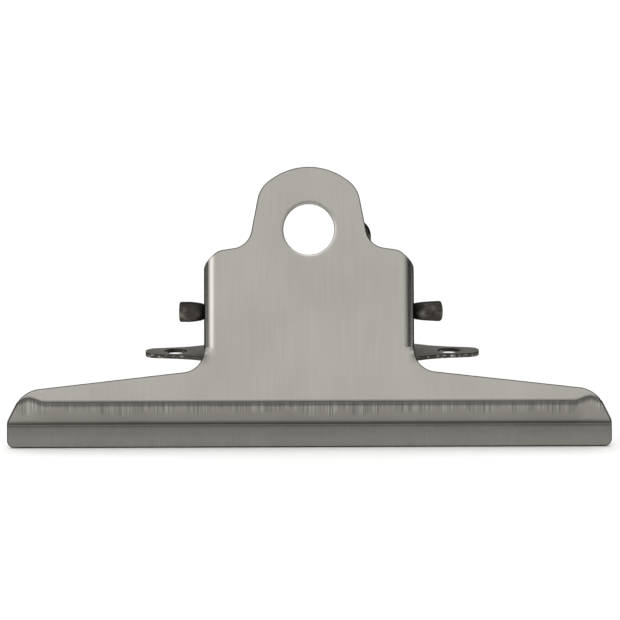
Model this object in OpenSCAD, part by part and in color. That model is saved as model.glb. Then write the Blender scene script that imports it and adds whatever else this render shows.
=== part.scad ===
// Bulldog clip for a writing board: a wide sheet-steel lever with a stepped jaw and a
// hanging hole turns on an axle in a riveted bracket, and a double torsion spring closes it.
//
// X runs along the jaw, Y from the jaw's side to the back, Z up from the board.
// The origin lies on the bracket's mounting face, midway between its two rivet holes.
// The lever is shown unmounted: the spring holds it against the bracket's front edge.

/* [Lever sheet] */
// Thickness of the lever's sheet
lever_t = 1; // [0.8:0.05:1.2]
// Distance from the axle's centre to the back of the lever's face
face_gap = 7; // [6.8:0.1:8]
// Lean of the lever's face from the board at rest, in degrees
rest_angle = 72; // [66:1:78]
// How far the lever sits to the left of the bracket's middle, within the side play
lever_shift = 0.8; // [0:0.1:0.9]

/* [Tongue] */
// Height of the tongue's top above the axle, along the face
tongue_top = 35.3; // [33:0.1:40]
// Radius of the tongue's crown
crown_r = 15.6; // [14.5:0.1:17]
// Half width of the crown's arc, from the middle to where the corners begin
crown_half = 8.9; // [8:0.1:9.2]
// Radius of the tongue's upper corners
corner_r = 7.4; // [6:0.1:9]
// Half width of the tongue at its upper corners
tongue_half = 12.1; // [11.6:0.1:12.8]
// Outward lean of the tongue's sides, in degrees
tongue_flare = 11; // [6:0.5:14]
// Radius where the tongue's sides run into the shoulders
neck_r = 5.1; // [3:0.1:5.5]
// Height of the shoulders above the axle where they turn down
shoulder_v = 14.5; // [13.6:0.1:15]
// Rise of the shoulders from there to the tongue
shoulder_rise = 1.1; // [0.4:0.1:1.6]
// How far in from the flanges' bends the shoulders turn down, at 45 degrees
shoulder_in = 1; // [0.8:0.1:2]
// Radius where the shoulders turn down
shoulder_r = 2.6; // [1:0.1:3]
// Diameter of the hanging hole
hang_d = 12.6; // [10:0.1:13.5]
// Height of the hanging hole's centre above the axle
hang_v = 19.7; // [18.5:0.1:22]

/* [Body and flanges] */
// Width across the outside of the two flanges
body_w = 52.1; // [50:0.1:58]
// Inner radius of the flanges' bends
flange_bend_r = 1.5; // [1:0.1:2]
// Height of the flanges' top corner above the axle
flange_top = 10.2; // [9.5:0.1:12]
// Depth of the flanges' bottom corner below the axle
flange_bottom = 9.6; // [8.6:0.1:10]
// Radius of the flanges round the axle
flange_r = 4.8; // [4:0.1:5.4]

/* [Jaw] */
// Width of the jaw from end to end
jaw_w = 150; // [130:1:180]
// Depth of the wings' top edge below the axle, at the body's sides
wing_v = 15.2; // [14.4:0.1:16]
// Fall of the wings' top edge from the body to the blank's upper corners
wing_fall = 5.1; // [4:0.1:6]
// Radius where the body's sides run into the wings
root_r = 5.6; // [3:0.1:5.8]
// Radius of the blank's upper corners
end_r = 7.5; // [5:0.1:9]
// How far in from the jaw's ends the upper corners lie: the ends slant out from there
end_in = 3.8; // [2:0.1:5]
// Radius where the slanted ends turn upright, at the second crease
end_side_r = 3; // [1:0.5:6]
// Depth of the first crease below the axle
crease_v = 23; // [22.4:0.1:26]
// Radius of the first crease, at the middle of the sheet
crease_r = 1; // [0.8:0.1:1.6]
// Angle of the step behind the face, in degrees
step_angle = 45; // [35:1:50]
// Length of the step between its two creases
step_l = 5.6; // [4.5:0.1:7]
// Radius of the second crease, at the middle of the sheet
lip_r = 1.6; // [1:0.1:2.4]
// Angle of the lip behind the face, in degrees
lip_angle = 8; // [0:1:15]
// Length of the lip below the second crease
lip_l = 5.4; // [4:0.1:7]
// Radius of the lip's lower corners
lip_corner_r = 1.8; // [0.5:0.1:3]

/* [Bracket] */
// Thickness of the bracket's sheet
bracket_t = 1; // [0.8:0.05:1.2]
// Height of the axle's centre above the mounting face
axle_h = 11; // [10.6:0.1:12]
// Distance between the two rivet holes
rivet_pitch = 68; // [66:0.5:76]
// Diameter of the rivet holes
rivet_d = 5.3; // [4:0.1:5.6]
// Width of the ears where they leave the body
ear_root_w = 14.8; // [12:0.1:16]
// Width of the ears at their rivet holes
ear_hole_w = 8.8; // [8:0.1:9.6]
// Radius of the ears' tips
ear_tip_r = 3; // [2:0.1:3.4]
// Distance from a rivet hole's centre to the ear's tip
ear_reach = 7.5; // [6.5:0.1:10]
// Distance from the axle to the bracket's back edge
bracket_back = 9.5; // [9:0.1:12]
// Width of the bracket's middle part
bracket_w = 44; // [40:0.5:48]
// Radius of the bracket's four middle corners
bracket_corner_r = 2; // [0.5:0.1:2.6]
// Gap between the lever and the bracket's front edge, which stops it
stop_gap = 0.1; // [0.05:0.05:0.3]
// Side gap between a lug and a flange with the lever centred
lug_gap = 1.05; // [1:0.05:1.5]
// Width of the lugs that carry the axle
lug_w = 9; // [8:0.1:9.6]
// Inner radius of the lugs' bends
lug_bend_r = 0.5; // [0.3:0.1:0.8]
// Width of the lance cuts beside the lugs
lance_gap = 0.3; // [0.2:0.05:0.6]

/* [Axle] */
// Diameter of the axle
axle_d = 3.9; // [3.6:0.05:4.1]
// Radial running clearance of the axle in its bores
axle_fit = 0.05; // [0.02:0.01:0.1]
// How far the axle sits to the left of the bracket's middle
axle_shift = 0.3; // [0:0.1:0.4]
// End play between the flanges and the axle's flattened ends
end_gap = 0.15; // [0.1:0.05:0.5]
// Length of each flattened end
flat_l = 6.1; // [4:0.1:8]
// Height of the flattened ends
flat_h = 5.1; // [4.4:0.1:5.6]
// Thickness of the flattened ends
flat_t = 2.3; // [1.6:0.1:3]
// Length over which the round axle runs into its flattened ends
flat_run = 2.6; // [2:0.1:3.4]
// Radius of the flattened ends' corners
flat_corner_r = 0.7; // [0.3:0.1:1.2]

/* [Spring] */
// Diameter of the spring's wire
wire_d = 2; // [1.6:0.05:2.1]
// Radial clearance of the spring's coils on the axle
coil_fit = 0.35; // [0.25:0.05:0.5]
// Whole turns in each coil
coil_turns = 3; // [2:1:3]
// Gap between neighbouring turns
turn_gap = 0.5; // [0.45:0.05:0.7]
// Distance from the middle to each leg that runs up the tongue
leg_x = 13.7; // [12.8:0.1:14.2]
// Height above the axle of the legs' hooked ends
hook_v = 21.75; // [18:0.1:23]
// Bend radius of the hooked ends, at the wire's centre
hook_r = 3.7; // [2.5:0.1:4]
// Gap between the spring and the sheets that it presses
seat_gap = 0.3; // [0.2:0.05:0.4]
// Bend radius of the bridge between the coils, at the wire's centre
bridge_r = 2; // [1.8:0.1:2.4]
// Distance behind the axle at which the bridge presses the bracket
bridge_y = 7.2; // [6:0.1:7.8]

/* [Hidden] */
$fn = 96;

steel = [0.69, 0.68, 0.65];
bracket_steel = [0.5, 0.49, 0.47];
axle_steel = [0.26, 0.25, 0.24];
spring_steel = [0.2, 0.19, 0.18];

face_mid = face_gap + lever_t / 2;
face_front = face_gap + lever_t;
bend_outer_r = flange_bend_r + lever_t;
bend_x = body_w / 2 - bend_outer_r;
flange_in = body_w / 2 - lever_t;
bore_r = axle_d / 2 + axle_fit;
axle_r = axle_d / 2;

// Arc points of a corner, turned in steps of equal angle
corner_steps = 16;
// How far a cutting or clipping shape runs past what it cuts
past = 1;

// A polygon's points with each corner rounded: every vertex is [x, y, radius]
function unit(a) = a / norm(a);
function corner(a, b, c, r) =
    let (
        u = unit([a.x - b.x, a.y - b.y]),
        w = unit([c.x - b.x, c.y - b.y]),
        half = acos(u * w) / 2,
        centre = [b.x, b.y] + unit(u + w) * r / sin(half),
        from = [b.x, b.y] + u * r / tan(half) - centre,
        sweep = (180 - 2 * half) * (u.x * w.y - u.y * w.x > 0 ? -1 : 1),
        start = atan2(from.y, from.x)
    )
    [for (i = [0:corner_steps]) let (t = start + sweep * i / corner_steps) centre + r * [cos(t), sin(t)]];
function rounded(points) = [
    for (i = [0:len(points) - 1])
        let (
            before = points[(i + len(points) - 1) % len(points)],
            after = points[(i + 1) % len(points)],
            here = points[i]
        )
        each here[2] > 0 ? corner(before, here, after, here[2]) : [[here.x, here.y]]
];
// The same points mirrored left to right, in the other order, to close a symmetrical outline
function mirrored(points) = [for (i = [len(points) - 1:-1:0]) [-points[i].x, points[i].y, points[i][2]]];
// An outline closed with its own mirror image above the X axis
function flipped(points) = concat(
    points,
    [for (i = [len(points) - 1:-1:0]) [points[i].x, -points[i].y, points[i][2]]]
);

// The jaw's fold, followed down the middle of the sheet from the first crease.
// Each result is [distance in front of the axle, height above the axle, angle of the sheet].
arc_1 = crease_r * step_angle * PI / 180;
arc_2 = lip_r * (step_angle - lip_angle) * PI / 180;
fold_l = arc_1 + step_l + arc_2 + lip_l;
step_from = [face_mid - crease_r * (1 - cos(step_angle)), -crease_v - crease_r * sin(step_angle)];
step_to = step_from + step_l * heading(step_angle);
lip_from = step_to + lip_r * (front(step_angle) - front(lip_angle));
function heading(a) = [-sin(a), -cos(a)];
function front(a) = [cos(a), -sin(a)];
function fold(s) =
    s <= 0 ? [face_mid, -crease_v - s, 0] :
    s < arc_1 ? let (a = step_angle * s / arc_1)
        [face_mid - crease_r * (1 - cos(a)), -crease_v - crease_r * sin(a), a] :
    s < arc_1 + step_l ? let (p = step_from + (s - arc_1) * heading(step_angle)) [p.x, p.y, step_angle] :
    s < arc_1 + step_l + arc_2 ?
        let (
            a = step_angle - (s - arc_1 - step_l) / arc_2 * (step_angle - lip_angle),
            p = step_to + lip_r * (front(step_angle) - front(a))
        ) [p.x, p.y, a] :
    let (p = lip_from + (s - arc_1 - step_l - arc_2) * heading(lip_angle)) [p.x, p.y, lip_angle];
// Where the fold is sampled: both ends of each crease and steps round it
crease_steps = 10;
fold_at = concat(
    [-crease_v - tongue_top],
    [for (i = [0:crease_steps]) arc_1 * i / crease_steps],
    [for (i = [0:crease_steps]) arc_1 + step_l + arc_2 * i / crease_steps],
    [fold_l]
);

// The lever's flat blank, right half: heights are measured down the sheet from the axle
side_run = tan(tongue_flare);
crown_tilt = asin(crown_half / crown_r);
crown_apex = tongue_top - crown_r + crown_r / cos(crown_tilt);
tongue_corner_v = crown_apex - tongue_half * tan(crown_tilt);
neck_v = shoulder_v + shoulder_rise;
neck_x = tongue_half + (tongue_corner_v - neck_v) * side_run;
jaw_tip = -crease_v - fold_l;
blank_right = [
    [0, crown_apex, crown_r],
    [tongue_half, tongue_corner_v, corner_r],
    [neck_x, neck_v, neck_r],
    [bend_x - shoulder_in, shoulder_v, shoulder_r],
    [bend_x, shoulder_v - shoulder_in, 0],
    [bend_x, -flange_bottom, 0],
    [body_w / 2, -flange_bottom, 0],
    [body_w / 2, -wing_v, root_r],
    [jaw_w / 2 - end_in, -wing_v - wing_fall, end_r],
    [jaw_w / 2, -crease_v - arc_1 - step_l, end_side_r],
    [jaw_w / 2, jaw_tip, lip_corner_r]
];
blank = rounded(concat(mirrored([for (i = [1:len(blank_right) - 1]) blank_right[i]]), blank_right));
// The blank as it looks from the front once it is folded
folded_blank = [for (p = blank) p.y >= -crease_v ? p : [p.x, fold(-crease_v - p.y)[1]]];

// A 2D shape of (Y, Z) points drawn out along X, from one place to another
module along_x(from, to) {
    translate([from, 0, 0]) rotate([90, 0, 90]) linear_extrude(to - from) children();
}
// Places the lever's own frame, whose Z runs up the face, on the axle
module on_lever() {
    translate([-lever_shift, 0, axle_h]) rotate([rest_angle - 90, 0, 0]) children();
}
// The folded sheet seen from the end
module fold_section() {
    path = [for (s = fold_at) fold(s)];
    half = lever_t / 2;
    polygon(concat(
        [for (p = path) [-p[0] - half * cos(p[2]), p[1] - half * sin(p[2])]],
        [for (i = [len(path) - 1:-1:0]) let (p = path[i]) [-p[0] + half * cos(p[2]), p[1] + half * sin(p[2])]]
    ));
}
// One flange's outline seen from the end: a round end at the axle, drawn to the bend
module flange_section() {
    top = [bend_depth, flange_top];
    bottom = [bend_depth, -flange_bottom];
    edge_v = shoulder_v - shoulder_in;
    // The shoulder's edge has fallen halfway to the flange at this share of the bend
    half_fallen = 0.8;
    a_top = atan2(top.y, top.x) + acos(flange_r / norm(top));
    a_bottom = atan2(bottom.y, bottom.x) - acos(flange_r / norm(bottom));
    circle(r = flange_r);
    polygon([
        [0, 0],
        [-flange_r * cos(a_top), flange_r * sin(a_top)],
        [-top.x, top.y],
        [-bend_depth - bend_outer_r * half_fallen, (flange_top + edge_v) / 2],
        [-face_front, edge_v],
        [-face_front, -flange_bottom],
        [-bottom.x, bottom.y],
        [-flange_r * cos(a_bottom), flange_r * sin(a_bottom)]
    ]);
}
bend_depth = face_front - bend_outer_r;
// The right flange's cross-section in (X, Y), with its bend and a lap into the face
flange_lap = 1;
bend_steps = 12;
module bend_section() {
    polygon(concat(
        [[bend_x - flange_lap, -face_gap], [bend_x - flange_lap, -face_front]],
        [for (i = [0:bend_steps]) let (a = 90 * i / bend_steps)
            [bend_x + bend_outer_r * sin(a), -bend_depth - bend_outer_r * cos(a)]],
        [[body_w / 2, flange_r], [flange_in, flange_r]],
        [for (i = [bend_steps:-1:0]) let (a = 90 * i / bend_steps)
            [bend_x + flange_bend_r * sin(a), -bend_depth - flange_bend_r * cos(a)]]
    ));
}
module flange() {
    intersection() {
        along_x(bend_x - flange_lap, body_w / 2 + past) flange_section();
        translate([0, 0, -flange_bottom]) linear_extrude(flange_bottom + shoulder_v) bend_section();
    }
}

// The pressed lever: tongue, body, two flanges, and the stepped jaw
module lever_plate() {
    color(steel) on_lever() difference() {
        union() {
            intersection() {
                along_x(-jaw_w / 2 - past, jaw_w / 2 + past) fold_section();
                translate([0, past, 0]) rotate([90, 0, 0])
                    linear_extrude(face_front + 2 * past) polygon(folded_blank);
            }
            flange();
            mirror([1, 0, 0]) flange();
        }
        translate([0, 0, hang_v]) rotate([90, 0, 0]) cylinder(d = hang_d, h = 2 * face_front);
        along_x(-body_w, body_w) circle(r = bore_r);
    }
}

// The bracket's front edge meets the back of the lever's face at the top of its sheet
stop_v = (bracket_t - axle_h - face_gap * cos(rest_angle)) / sin(rest_angle);
stop_y = -face_gap * sin(rest_angle) + stop_v * cos(rest_angle) + stop_gap / sin(rest_angle);
lug_out = flange_in - lug_gap;
lug_in = lug_out - bracket_t;
lug_r = lug_w / 2;
// A window is as long as the flat lug that was lanced from it, measured from the lug's bend line
lug_bend_l = PI / 2 * (lug_bend_r + bracket_t / 2);
window_l = lug_bend_l + axle_h + lug_r - lug_bend_r - bracket_t + lance_gap;
ear_tip_x = rivet_pitch / 2 + ear_reach;
// Half of the straight edge between the two rounds of an ear's tip
ear_tip_flat = 0.2;
// Radius where an ear leaves the middle part, and of its long waist
ear_root_r = 2;
ear_waist_r = 8;
// The waist lies a quarter of the way to the rivet hole, a third of the way back to the root's width
ear_waist_x = body_w / 2 + (rivet_pitch - body_w) / 4;
ear_waist_half = (ear_root_w + 2 * ear_hole_w) / 6;
// The front edge of the right ear, from the middle part to the tip
ear_edge = [
    [bracket_w / 2, -ear_root_w / 2, 0],
    [body_w / 2, -ear_root_w / 2, ear_root_r],
    [ear_waist_x, -ear_waist_half, ear_waist_r],
    [rivet_pitch / 2, -ear_hole_w / 2, ear_waist_r],
    [ear_tip_x, -ear_tip_r - ear_tip_flat, ear_tip_r]
];
module ear() {
    polygon(rounded(flipped(ear_edge)));
}
module bracket_outline() {
    difference() {
        union() {
            polygon(rounded([
                [-bracket_w / 2, stop_y, bracket_corner_r],
                [bracket_w / 2, stop_y, bracket_corner_r],
                [bracket_w / 2, bracket_back, bracket_corner_r],
                [-bracket_w / 2, bracket_back, bracket_corner_r]
            ]));
            ear();
            mirror([1, 0]) ear();
        }
        for (side = [-1, 1]) translate([side * rivet_pitch / 2, 0]) circle(d = rivet_d);
    }
}
// A lug's cross-section in (X, Z): the sheet turns up out of the ear's plane
module lug_section() {
    outer = lug_bend_r + bracket_t;
    centre = [lug_out + lug_bend_r, outer];
    round = [for (i = [0:bend_steps]) let (a = 180 + 90 * i / bend_steps) [cos(a), sin(a)]];
    polygon(concat(
        [for (d = round) centre + outer * d],
        [[centre.x + past, 0], [centre.x + past, bracket_t]],
        [for (i = [bend_steps:-1:0]) centre + lug_bend_r * round[i]],
        [[lug_out, axle_h + lug_r], [lug_in, axle_h + lug_r]]
    ));
}
module lug() {
    intersection() {
        translate([0, lug_r, 0]) rotate([90, 0, 0]) linear_extrude(lug_w) lug_section();
        along_x(lug_in - past, lug_out + lug_bend_r + 2 * past) union() {
            translate([-lug_r, 0]) square([lug_w, axle_h]);
            translate([0, axle_h]) circle(r = lug_r);
        }
    }
}

// The riveted bracket: a flat sheet with two ears and two lugs lanced up out of it
module bracket() {
    color(bracket_steel) difference() {
        union() {
            difference() {
                linear_extrude(bracket_t) bracket_outline();
                for (side = [-1, 1]) scale([side, 1, 1])
                    translate([lug_out + lug_bend_r - window_l, -lug_r - lance_gap, -past])
                        cube([window_l, lug_w + 2 * lance_gap, bracket_t + 2 * past]);
            }
            lug();
            mirror([1, 0, 0]) lug();
        }
        translate([0, 0, axle_h]) along_x(-body_w, body_w) circle(r = bore_r);
    }
}

// The axle's round part runs past both flanges, and its ends are squeezed flat to hold it
shank_half = body_w / 2 + abs(lever_shift - axle_shift) + end_gap;
// Radius where the widening end runs into its flattened length
flat_blend_r = 4;
module flat_end() {
    end_x = shank_half + flat_l;
    run_x = shank_half + flat_run;
    side_view = flipped([
        [shank_half - past, -axle_r, 0],
        [shank_half, -axle_r, 0],
        [run_x, -flat_h / 2, flat_blend_r],
        [end_x, -flat_h / 2, flat_corner_r]
    ]);
    top_view = flipped([
        [shank_half - past, -axle_r, 0],
        [shank_half, -axle_r, 0],
        [run_x, -flat_t / 2, 0],
        [end_x + past, -flat_t / 2, 0]
    ]);
    intersection() {
        rotate([90, 0, 0]) translate([0, 0, -axle_d]) linear_extrude(2 * axle_d) polygon(rounded(side_view));
        translate([0, 0, -flat_h]) linear_extrude(2 * flat_h) polygon(rounded(top_view));
        union() {
            along_x(0, run_x) circle(r = flat_h / 2);
            along_x(run_x, end_x + past) square(2 * flat_h, center = true);
        }
    }
}
module axle_pin() {
    color(axle_steel) translate([-axle_shift, 0, axle_h]) {
        along_x(-shank_half, shank_half) circle(r = axle_r);
        difference() {
            union() {
                flat_end();
                mirror([1, 0, 0]) flat_end();
            }
            along_x(-shank_half, shank_half) square(2 * flat_h, center = true);
        }
    }
}

// The spring's wire, followed from one hooked end to the other. Angles are in the plane
// of a coil, from the back (+Y) over the top (+Z), and grow as the wire runs down the front.
wire_r = wire_d / 2;
coil_r = axle_r + coil_fit + wire_r;
pitch = wire_d + turn_gap;
hook_at = [face_gap - seat_gap - wire_r, hook_v];
// A place in the lever's frame, seen in the plane of a coil
function in_plane(p) = [
    -p.x * sin(rest_angle) + p.y * cos(rest_angle),
    p.x * cos(rest_angle) + p.y * sin(rest_angle)
];
hook_yz = in_plane(hook_at);
leg_angle = atan2(hook_yz.y, hook_yz.x) + acos(coil_r / norm(hook_yz));
bridge_yz = [bridge_y, bracket_t + seat_gap + wire_r - axle_h];
bridge_angle = 360 + atan2(bridge_yz.y, bridge_yz.x) - acos(coil_r / norm(bridge_yz));
turned = 360 * coil_turns + bridge_angle - leg_angle;
inner_x = leg_x - pitch * turned / 360;
leg_from = coil_r * [cos(leg_angle), sin(leg_angle)];
leg_dir = unit(hook_yz - leg_from);
bridge_from = coil_r * [cos(bridge_angle), sin(bridge_angle)];
bridge_dir = unit(bridge_yz - bridge_from);
hook_end_l = wire_d;
curl_rings = 8;
coil_rings = curl_rings * coil_turns;
bend_rings = 5;
// The right half of the wire, from its hooked end to the middle of the bridge
function on_coil(x, p) = [x, p.x, p.y];
half_wire = concat(
    [on_coil(leg_x - hook_r - hook_end_l, hook_yz)],
    [for (i = [0:bend_rings]) let (a = 90 * i / bend_rings)
        on_coil(leg_x - hook_r * (1 - sin(a)), hook_yz - leg_dir * hook_r * (1 - cos(a)))],
    [for (i = [0:coil_rings]) let (a = leg_angle + turned * i / coil_rings)
        on_coil(leg_x - pitch * (a - leg_angle) / 360, coil_r * [cos(a), sin(a)])],
    [for (i = [0:bend_rings]) let (a = 90 * i / bend_rings)
        on_coil(inner_x - bridge_r * (1 - cos(a)), bridge_yz - bridge_dir * bridge_r * (1 - sin(a)))]
);
left_wire = [for (i = [len(half_wire) - 1:-1:0]) let (p = half_wire[i]) [-p.x, p.y, p.z]];
wire = concat(half_wire, left_wire);

// Sweeps a six-sided tube along points, turning each ring no more than the path does
tube_sides = 6;
function around(k) = let (a = 360 * k / tube_sides) [cos(a), sin(a)];
function tangent(p, i) = unit(unit(p[min(i + 1, len(p) - 1)] - p[i == len(p) - 1 ? i - 1 : i])
    + unit(p[i == 0 ? 1 : i] - p[max(i - 1, 0)]));
function across(n, t) = unit(n - (n * t) * t);
function tube_points(p, r) = [
    for (i = 0, n = across([0, 0, 1], tangent(p, 0)); i < len(p);
         i = i + 1, n = i < len(p) ? across(n, tangent(p, i)) : n)
        let (b = cross(tangent(p, i), n))
        each [for (k = [0:tube_sides - 1]) let (d = around(k)) p[i] + r * (d.x * n + d.y * b)]
];
function tube_faces(rings) = concat(
    [for (k = [1:tube_sides - 2]) [0, k + 1, k]],
    [for (k = [1:tube_sides - 2]) let (a = (rings - 1) * tube_sides) [a, a + k, a + k + 1]],
    [for (i = [0:rings - 2], k = [0:tube_sides - 1])
        let (a = i * tube_sides, b = a + tube_sides, m = (k + 1) % tube_sides)
        each [[a + k, a + m, b + k], [a + m, b + m, b + k]]]
);

// Least gap of the wire to itself, between rings that aren't neighbours along it
apart = 5;
least_gap = min([
    for (i = [0:len(wire) - 1], j = [i + apart:1:len(wire) - 1]) norm(wire[i] - wire[j])
]) - wire_d;
echo(least_gap_of_the_spring_to_itself = least_gap);

// The double torsion spring: two coils on the axle, a bridge on the bracket, two hooked legs
module torsion_spring() {
    color(spring_steel) translate([0, 0, axle_h])
        polyhedron(tube_points(wire, wire_r), tube_faces(len(wire)));
}

lever_plate();
bracket();
axle_pin();
torsion_spring();
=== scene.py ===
"""A bulldog clip for a writing board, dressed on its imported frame.

Lengths are in millimetres until a piece is placed, and then in metres. The lever and the
bracket are pressed sheet. Each starts as a flat blank with its holes, gets its thickness
and the rounded rims that shearing leaves, and is bent last, as a press does it.
"""
import logging
import math
from collections.abc import Callable, Iterable, Sequence
from dataclasses import dataclass
from enum import Enum

import bmesh
import bpy
from mathutils import Matrix, Vector


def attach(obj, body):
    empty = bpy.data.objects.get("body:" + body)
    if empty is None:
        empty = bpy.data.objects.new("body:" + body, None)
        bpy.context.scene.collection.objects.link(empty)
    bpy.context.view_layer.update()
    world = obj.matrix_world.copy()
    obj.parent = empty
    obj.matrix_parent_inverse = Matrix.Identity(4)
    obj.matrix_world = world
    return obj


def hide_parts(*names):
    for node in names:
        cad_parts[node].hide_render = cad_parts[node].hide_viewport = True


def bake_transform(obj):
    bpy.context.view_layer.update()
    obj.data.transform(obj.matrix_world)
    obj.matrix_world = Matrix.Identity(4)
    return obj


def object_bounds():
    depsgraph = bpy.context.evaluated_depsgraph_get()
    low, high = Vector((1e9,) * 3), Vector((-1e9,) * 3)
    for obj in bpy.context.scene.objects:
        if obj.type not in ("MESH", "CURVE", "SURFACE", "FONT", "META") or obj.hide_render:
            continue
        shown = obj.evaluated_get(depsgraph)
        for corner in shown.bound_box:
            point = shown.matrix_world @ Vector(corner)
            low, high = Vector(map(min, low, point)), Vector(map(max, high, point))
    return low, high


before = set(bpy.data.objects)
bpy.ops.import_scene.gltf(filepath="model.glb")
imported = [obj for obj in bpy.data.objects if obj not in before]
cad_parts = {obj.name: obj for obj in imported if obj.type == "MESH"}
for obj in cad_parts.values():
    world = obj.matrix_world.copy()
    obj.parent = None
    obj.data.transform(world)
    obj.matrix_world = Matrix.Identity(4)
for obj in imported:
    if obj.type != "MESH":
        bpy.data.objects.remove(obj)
CAD_BOX = [list(corner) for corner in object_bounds()]

LOG = logging.getLogger("bulldog_clip")
MM = 0.001
# One unit of a sheet's flat coordinates, in millimetres
FLAT_UNIT = 100.0
FLAT_MAP = "flat_sheet"
# Faces of the rolled rims, which get painted shade
PAINTED_RIM_SHADE = "rollover"
SHEARED = "sheared"
FOLD_PLACE = "fold_place"
# How much painted shade each point round the flanges' bends gets
PAINTED_BEND_SHADE = "bend_shade_weight"
BITTEN = "bitten"
# Length of one step round an arc, in millimetres
ARC_STEP = 0.35
# Sizes that several pieces share, in millimetres. The last two place the lever's face: how
# far its back lies in front of the axle, and its angle at rest in degrees
SHEET_THICKNESS = 1.0
AXLE_HEIGHT = 11.0
AXLE_RADIUS = 1.95
BORE_RADIUS = 2.0
FACE_GAP = 7.0
REST_ANGLE = 72.0


class Body(Enum):
    """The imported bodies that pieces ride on."""

    BRACKET = "bracket_body"
    LEVER = "lever_body"


class Side(Enum):
    """Which half of the clip a piece stands on, as the sign of its X."""

    RIGHT = 1
    LEFT = -1


def linear(colour: str) -> tuple[float, float, float, float]:
    """Turn an sRGB hex colour into linear RGBA.

    Args:
        colour: The colour as "#rrggbb".

    Returns:
        The linear red, green and blue, and full alpha.
    """
    parts = [int(colour[i:i + 2], 16) / 255 for i in (1, 3, 5)]
    # These numbers are the sRGB curve's own
    red, green, blue = (c / 12.92 if c <= 0.04045 else ((c + 0.055) / 1.055) ** 2.4 for c in parts)
    return red, green, blue, 1.0


def add_node(
    tree: bpy.types.NodeTree,
    kind: str,
    settings: dict[str | int, object] | None = None,
    links: dict[str | int, bpy.types.NodeSocket] | None = None,
    out: str | int = 0,
) -> bpy.types.NodeSocket | None:
    """Add one node with its settings and links.

    Args:
        tree: The tree that gets the node.
        kind: The node's type name.
        settings: Values by property name, or by the name or number of an input.
        links: Sockets that feed inputs, by the input's name or number.
        out: The output to return.

    Returns:
        The chosen output socket, or None for a node without outputs.
    """
    node = tree.nodes.new(kind)
    for key, value in (settings or {}).items():
        if isinstance(key, str) and hasattr(node, key):
            setattr(node, key, value)
        else:
            node.inputs[key].default_value = value
    for key, socket in (links or {}).items():
        tree.links.new(socket, node.inputs[key])
    return node.outputs[out] if node.outputs else None


@dataclass(frozen=True)
class Finish:
    """A surface finish that makes its own material."""

    name: str

    def material(self) -> bpy.types.Material:
        """Make the material that this finish dresses.

        Returns:
            The new material.
        """
        material = bpy.data.materials.new(self.name)
        material.use_nodes = True
        tree = material.node_tree
        tree.nodes.clear()
        add_node(tree, "ShaderNodeOutputMaterial", links={"Surface": self.shade(tree)})
        return material

    def shade(self, tree: bpy.types.NodeTree) -> bpy.types.NodeSocket:
        """Add the nodes of this finish and return its shader."""
        raise NotImplementedError

    @staticmethod
    def pattern(
        tree: bpy.types.NodeTree,
        place: bpy.types.NodeSocket,
        unit: float,
        size: tuple[float, float, float],
        detail: float = 2.0,
    ) -> bpy.types.NodeSocket:
        """Add a noise whose grains have a real size.

        Args:
            tree: The tree that gets the nodes.
            place: The coordinates that the noise reads.
            unit: Millimetres in one unit of those coordinates.
            size: The grain's size along each axis, in millimetres.
            detail: Octaves of finer grain.

        Returns:
            The noise, from 0 to 1.
        """
        scale = tuple(unit / length for length in size)
        placed = add_node(tree, "ShaderNodeMapping", {"Scale": scale}, {"Vector": place})
        return add_node(
            tree, "ShaderNodeTexNoise", {"Scale": 1.0, "Detail": detail}, {"Vector": placed}
        )


@dataclass(frozen=True)
class Metal(Finish):
    """A bare metal whose roughness and relief follow its own patterns."""

    light: str
    dark: str
    roughness: float
    # What is added to the roughness where its pattern is 0, and where it is 1
    rough_change: tuple[float, float]
    # Strength of the relief, and its height in millimetres
    relief: tuple[float, float]

    def metal(
        self,
        tree: bpy.types.NodeTree,
        colour: bpy.types.NodeSocket,
        uneven: bpy.types.NodeSocket,
        height: bpy.types.NodeSocket,
        settings: dict[str, object] | None = None,
        links: dict[str, bpy.types.NodeSocket] | None = None,
    ) -> bpy.types.NodeSocket:
        """Add the metal's roughness, its relief and its shader.

        Args:
            tree: The tree that gets the nodes.
            colour: The metal's colour.
            uneven: The pattern that its roughness follows.
            height: The pattern of its relief.
            settings: More of the shader's values, by input name.
            links: More of the shader's links, by input name.

        Returns:
            The shader.
        """
        low, high = self.rough_change
        rough = add_node(
            tree, "ShaderNodeMapRange",
            {"To Min": self.roughness + low, "To Max": self.roughness + high}, {"Value": uneven},
        )
        strength, depth = self.relief
        bump = add_node(
            tree, "ShaderNodeBump", {"Strength": strength, "Distance": depth * MM},
            {"Height": height},
        )
        return add_node(
            tree, "ShaderNodeBsdfPrincipled", {"Metallic": 1.0} | (settings or {}),
            {"Base Color": colour, "Roughness": rough, "Normal": bump} | (links or {}),
        )


@dataclass(frozen=True)
class CreaseShadeBand:
    """A band of painted shade along a crease, in millimetres down the fold."""

    middle: float
    reach: float
    # Share of the brightness that is lost at its middle
    loss: float
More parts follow.
